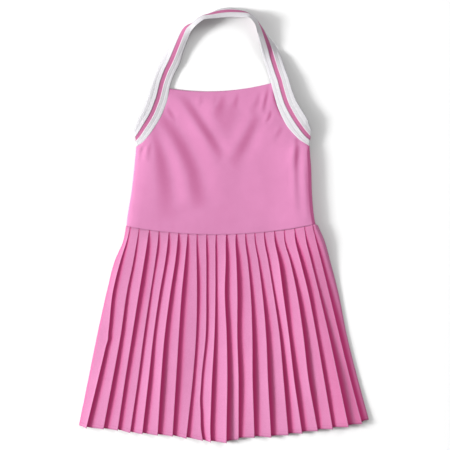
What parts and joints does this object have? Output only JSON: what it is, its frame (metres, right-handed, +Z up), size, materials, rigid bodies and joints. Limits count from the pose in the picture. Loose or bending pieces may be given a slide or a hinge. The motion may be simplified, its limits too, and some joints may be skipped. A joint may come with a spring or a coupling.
{
  "type": "tennis dress",
  "caption": "Girl's sleeveless halter tennis dress laid flat: smooth bodice, knife-pleated skirt, and a ribbed band along the armholes and over the neck.",
  "frame": {"origin": "middle of the laid dress's outline, on the surface that it lies on", "axes": "+X to the right as seen from above the front of the dress, +Y from hem to neck, +Z up from the surface"},
  "size_m": [0.4636, 0.697, 0.0241],
  "materials": {
    "pink_knit": "smooth double knit with a soft sheen",
    "pink_twill": "matt fine twill, pressed in knife pleats",
    "white_rib": "white ribbed knit with one pink stripe along its middle"
  },
  "bodies": {
    "root": {"bodice_front": "pink_knit", "bodice_back": "pink_knit", "skirt_front": "pink_twill", "skirt_back": "pink_twill", "halter_trim": "white_rib", "back_trim": "white_rib"}
  },
  "joints": []
}
